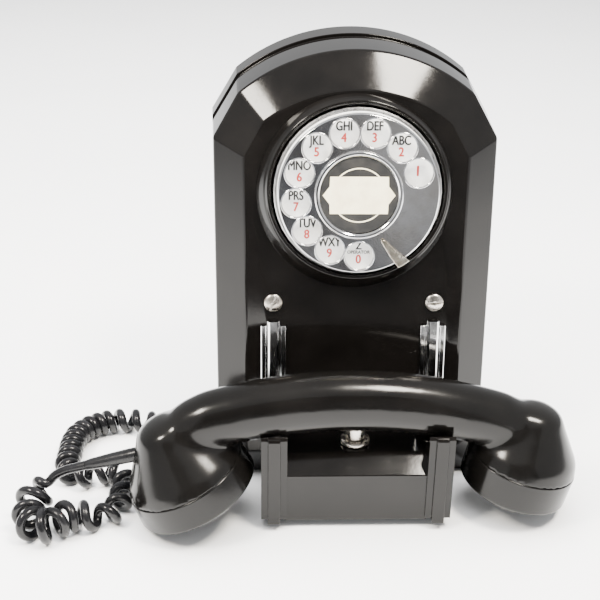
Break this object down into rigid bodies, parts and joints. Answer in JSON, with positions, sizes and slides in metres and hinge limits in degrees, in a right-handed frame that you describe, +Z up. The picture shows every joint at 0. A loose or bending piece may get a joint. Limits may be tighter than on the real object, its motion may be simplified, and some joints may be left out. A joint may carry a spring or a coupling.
{
  "type": "wall telephone",
  "caption": "Rotary dial wall telephone: moulded housing with a leaning bevelled face, handset lying in a front cradle, curly handset cord, bell and dial works inside.",
  "frame": {"origin": "on the middle plane of the housing's bottom face, 68.5 mm in front of the wall", "axes": "+Z up, -Y out of the front face towards the user, +X to the right seen from the front"},
  "size_m": [0.2728, 0.1446, 0.217],
  "materials": {
    "housing": "glossy black moulded phenolic",
    "handset": "worn glossy black phenolic",
    "chrome": "bright chrome plate",
    "nickel": "nickel plate",
    "enamel": "white enamel on steel",
    "card": "printed card, cream on black",
    "steel": "plain steel",
    "brass": "machined brass",
    "winding": "lacquered wire on a spool",
    "insulation": "brown laminated insulation",
    "cord": "black rubber jacket"
  },
  "bodies": {
    "root": {"rear_base": "housing", "front_cover": "housing", "cover_screw_left": "nickel", "cover_screw_right": "nickel", "chrome_strip_left": "chrome", "chrome_strip_right": "chrome", "handset_cradle": "housing", "plunger_collar": "nickel", "dial_mounting_ring": "housing", "dial_case": "steel", "number_plate": "enamel", "finger_stop": "chrome", "dial_back_plate": "steel", "dial_mainspring": "steel", "governor_cup": "brass", "impulse_contacts": "insulation", "ringer_frame": "steel", "gong_left": "brass", "gong_right": "brass", "gong_screw_left": "steel", "gong_screw_right": "steel", "ringer_coil_left": "winding", "ringer_coil_right": "winding", "hook_switch_bracket": "steel", "hook_lever_pin": "steel", "hook_switch_springs": "insulation", "condenser": "nickel", "induction_coil": "winding", "terminal_block": "insulation", "cord_grommet": "cord", "cord_lead_handset": "cord", "cord_coil": "cord", "cord_lead_housing": "cord"},
    "dial": {"finger_wheel": "chrome", "card_ring": "chrome", "number_card": "card", "dial_shaft": "steel", "main_gear": "brass"},
    "governor": {"governor": "brass"},
    "clapper": {"clapper": "steel"},
    "plunger": {"hook_plunger": "nickel"},
    "lever": {"hook_lever": "nickel"},
    "handset": {"handset_handle": "handset", "transmitter_cap": "handset", "receiver_cap": "handset", "transmitter_capsule": "nickel", "receiver_capsule": "nickel", "cord_relief": "cord"}
  },
  "joints": [
    {"name": "handset_lift", "type": "slide", "parent": "root", "child": "handset", "axis": [0, 0, 1], "range_m": [0, 0.05]},
    {"name": "hook_plunge", "type": "slide", "parent": "root", "child": "plunger", "axis": [0, 0, 1], "range_m": [0, 0.006]},
    {"name": "hook_swing", "type": "hinge", "parent": "root", "child": "lever", "pos_m": [0, 0.008, 0.022], "axis": [-1, 0, 0], "range_deg": [0, 8]},
    {"name": "dial_turn", "type": "hinge", "parent": "root", "child": "dial", "pos_m": [0, 0.00575, 0.15288], "axis": [0, 0.9896, -0.144], "range_deg": [0, 320], "stiffness_Nm_per_rad": 0.004, "springref_deg": -28.65},
    {"name": "governor_spin", "type": "hinge", "parent": "root", "child": "governor", "pos_m": [0, 0.02545, 0.17022], "axis": [1, 0, 0], "continuous": true},
    {"name": "clapper_swing", "type": "hinge", "parent": "root", "child": "clapper", "pos_m": [0, 0.0555, 0.099], "axis": [0, 1, 0], "range_deg": [-2.5, 2.5], "stiffness_Nm_per_rad": 0.002}
  ],
  "couplings": [
    {"joint": "hook_plunge", "follows": "handset_lift", "ratio": 0.12},
    {"joint": "hook_swing", "follows": "handset_lift", "rad_per_m": 2.6},
    {"joint": "governor_spin", "follows": "dial_turn", "ratio": 10}
  ]
}
